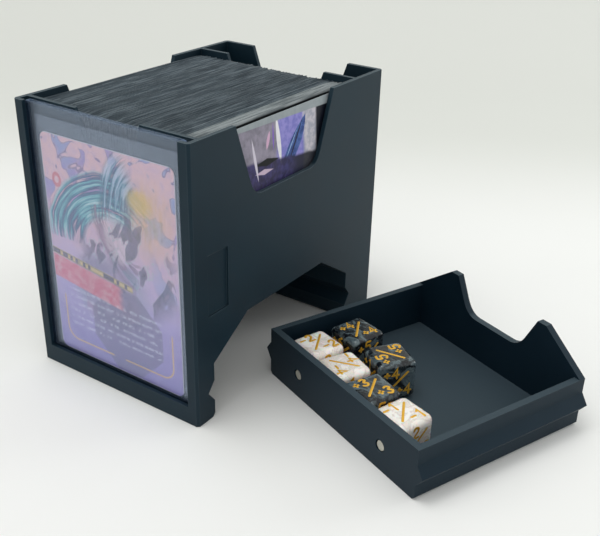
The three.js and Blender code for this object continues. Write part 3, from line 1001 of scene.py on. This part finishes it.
# each sign as a few brush strokes, in heights of the sign about its middle
STROKES = {
    "1": [[(-.16, .3), (.06, .5), (.06, -.5)]],
    "2": [[(-.26, .28), (-.08, .5), (.2, .42), (.22, .12), (-.05, -.2), (-.28, -.5), (.3, -.48)]],
    "3": [[(-.26, .4), (.02, .5), (.25, .28), (0, .04), (.28, -.2), (.06, -.5), (-.28, -.38)]],
    "4": [[(.12, -.5), (.12, .5), (-.3, -.16), (.32, -.16)]],
    "5": [[(.26, .5), (-.2, .5), (-.24, .1), (.12, .12), (.28, -.14), (.06, -.5), (-.28, -.36)]],
    "6": [[(.2, .5), (-.16, .2), (-.26, -.2), (0, -.5), (.26, -.24), (.04, .04), (-.22, -.12)]],
    "+": [[(-.26, 0), (.26, 0)], [(0, -.26), (0, .26)]],
    "-": [[(-.28, 0), (.28, 0)]],
}
ROUND_SIGNS = "2356"


def gold_paint():
    """Gold paint, a little worn."""
    material, shader, place = new_finish("gold_paint", Metallic=0.55)
    wear = mottle(place, 1.1, 3, 0.6)
    feed(
        shader,
        Base_Color=wear.mix(srgb(238, 170, 34), srgb(252, 208, 84)),
        Roughness=0.35 + wear * 0.2,
        Normal=bump(wear, 0.3, 0.03 * MM),
    )
    return material


def pearl():
    """White resin with faint warm veins under a clear skin."""
    material, shader, place = new_finish(
        "white_pearl", Subsurface_Weight=0.25, Subsurface_Scale=0.002, Coat_Weight=0.4, Coat_Roughness=0.12,
    )
    vein = mottle(place, 0.14, 4, 0.55, 1.6)
    streak = abs(vein - 0.5).soft(0.06, 0.0)
    tone = vein.soft(0.35, 0.7).mix(srgb(250, 247, 241), srgb(226, 216, 206))
    feed(
        shader,
        Base_Color=(streak * 0.35).mix(tone, srgb(188, 172, 166)),
        Roughness=0.22 + vein * 0.1,
    )
    return material


def dark_marble():
    """Black resin with grey-blue clouds and pale flecks."""
    material, shader, place = new_finish("dark_marble", Coat_Weight=0.25, Coat_Roughness=0.12)
    cloud = mottle(place, 0.11, 3, 0.55, 1.4)
    wisp = abs(cloud - 0.54).soft(0.05, 0.0)
    fleck = mottle(place, 0.5, 3, 0.6, 0.6).soft(0.5, 0.66)
    tone = cloud.soft(0.42, 0.66).mix(srgb(8, 12, 19), srgb(74, 90, 98))
    feed(
        shader,
        Base_Color=(wisp * 0.35 + fleck * 0.2).mix(tone, srgb(132, 150, 154)),
        Roughness=0.2 + cloud * 0.12,
    )
    return material


def rounded_cube(size, radius, cuts):
    """A cube with rounded edges and corners, as points and quads about its middle."""
    half, flat = size / 2, size / 2 - radius
    shape = bmesh.new()
    bmesh.ops.create_cube(shape, size=size)
    bmesh.ops.subdivide_edges(shape, edges=shape.edges, cuts=cuts, use_grid_fill=True)
    for vert in shape.verts:
        # the grid lines are drawn out towards the edges, where the rounding needs them
        share = [max(-1.0, min(1.0, c / half)) for c in vert.co]
        spread = Vector([math.copysign(abs(s) ** 0.6, s) * half for s in share])
        core = Vector([max(-flat, min(flat, c)) for c in spread])
        away = spread - core
        vert.co = core + away.normalized() * radius if away.length > 1e-9 else spread
    verts = [vert.co.copy() for vert in shape.verts]
    faces = [[vert.index for vert in face.verts] for face in shape.faces]
    shape.free()
    return verts, faces


def smooth_line(points, cuts):
    """The same line through its points, curved as a pen would draw it."""
    ends = [Vector(point) for point in (points[0], *points, points[-1])]
    line = []
    for a, b, c, d in zip(ends, ends[1:], ends[2:], ends[3:]):
        for step in range(cuts):
            t = step / cuts
            bend = (2 * a - 5 * b + 4 * c - d) * t ** 2 + (3 * b - a - 3 * c + d) * t ** 3
            line.append(b + ((c - a) * t + bend) / 2)
    return [*line, ends[-1]]


def painted_stroke(verts, faces, line, width, laid):
    """A bead of paint along a flat line, laid on the die: a low crowned strip with tapered ends."""
    line = [Vector(point) for point in line]
    first, last = (line[1] - line[0]).normalized(), (line[-1] - line[-2]).normalized()
    line = [line[0] - first * width * 0.35, *line, line[-1] + last * width * 0.35]
    start = len(verts)
    for i, point in enumerate(line):
        inner = 0 < i < len(line) - 1
        before = (point - line[i - 1]).normalized() if i else first
        after = (line[i + 1] - point).normalized() if i < len(line) - 1 else before
        along = (before + after).normalized() if (before + after).length > 1e-6 else before
        side = Vector((-along.y, along.x)) * width / 2
        side = side / max(0.6, along.dot(before)) if inner else side * 0.55
        crown = 0.05 * MM if inner else 0.01 * MM
        for share, lift in ((-1, -0.02 * MM), (-0.6, crown), (0.6, crown), (1, -0.02 * MM)):
            at = point + side * share
            verts.append(laid @ Vector((at.x, at.y, lift)))
    for i in range(len(line) - 1):
        for k in range(3):
            a = start + i * 4 + k
            faces.append((a + 1, a, a + 4, a + 5))


def die_face(verts, faces, sign, count, laid):
    """Sign and count twice, either side of a slash, as on a counter die."""
    height, brush = 4.1 * MM, 1.05 * MM
    signs = [(sign, -4.5, 3.6, 0.9), (count, -1.0, 3.9, 1), (sign, 1.0, -3.9, 0.9), (count, 4.3, -3.7, 1)]
    for mark, u, v, scale in signs:
        for line in STROKES[mark]:
            if mark in ROUND_SIGNS:
                line = smooth_line(line, 4)
            inked = [(u * MM + x * height * scale, v * MM + y * height * scale) for x, y in line]
            painted_stroke(verts, faces, inked, brush, laid)
    painted_stroke(verts, faces, [(4.0 * MM, 3.9 * MM), (0, 0), (-4.0 * MM, -3.9 * MM)], brush, laid)


def counter_die(name, centre, heading, radius, sign, top, finish, paint):
    """A die with all six faces marked; opposite counts add to seven."""
    verts, faces = rounded_cube(DIE, radius, cuts=17)
    plain = len(faces)
    side = 1 + top % 6
    side = side if side not in (top, 7 - top) else 1 + side % 6
    front = next(n for n in range(1, 7) if n not in (top, 7 - top, side, 7 - side))
    turned = [
        (top, (1, 0, 0), (0, 1, 0)), (7 - top, (1, 0, 0), (0, -1, 0)),
        (side, (1, 0, 0), (0, 0, 1)), (7 - side, (-1, 0, 0), (0, 0, 1)),
        (front, (0, 1, 0), (0, 0, 1)), (7 - front, (0, -1, 0), (0, 0, 1)),
    ]
    for count, right, up in turned:
        out = Vector(right).cross(Vector(up))
        laid = Matrix((right, up, out)).transposed().to_4x4()
        laid.translation = out * (DIE / 2)
        die_face(verts, faces, sign, str(count), laid)
    spin = Matrix.Rotation(heading, 3, "Z")
    verts = [centre + spin @ vert for vert in verts]
    marks = [0] * plain + [1] * (len(faces) - plain)
    return mesh_piece(name, verts, faces, [finish, paint], marks)


tray_turn = math.atan2(tray_heading.y, tray_heading.x)
white, black, gold = pearl(), dark_marble(), gold_paint()
# how far each die lies askew, which way its figures are read, and the count on top
for node, askew, read, top in (
    ("white_die_1", 3, 0, 2), ("white_die_2", -5, -90, 4), ("white_die_3", 4, 0, 1),
    ("black_die_1", -3, 0, 3), ("black_die_2", 4, 0, 4), ("black_die_3", -14, 90, 5),
):
    low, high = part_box(node)
    pale = node.startswith("white")
    heading = tray_turn + math.radians(askew + read)
    die = counter_die(
        node + "_cast", (low + high) / 2, heading, (2.6 if pale else 1.8) * MM,
        "-" if pale else "+", top, white if pale else black, gold,
    )
    seat(die, node)


# ------------------------------------------------------------------ finished size
# The bounds of everything shown, taken again now that the scene is finished.

low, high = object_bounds()
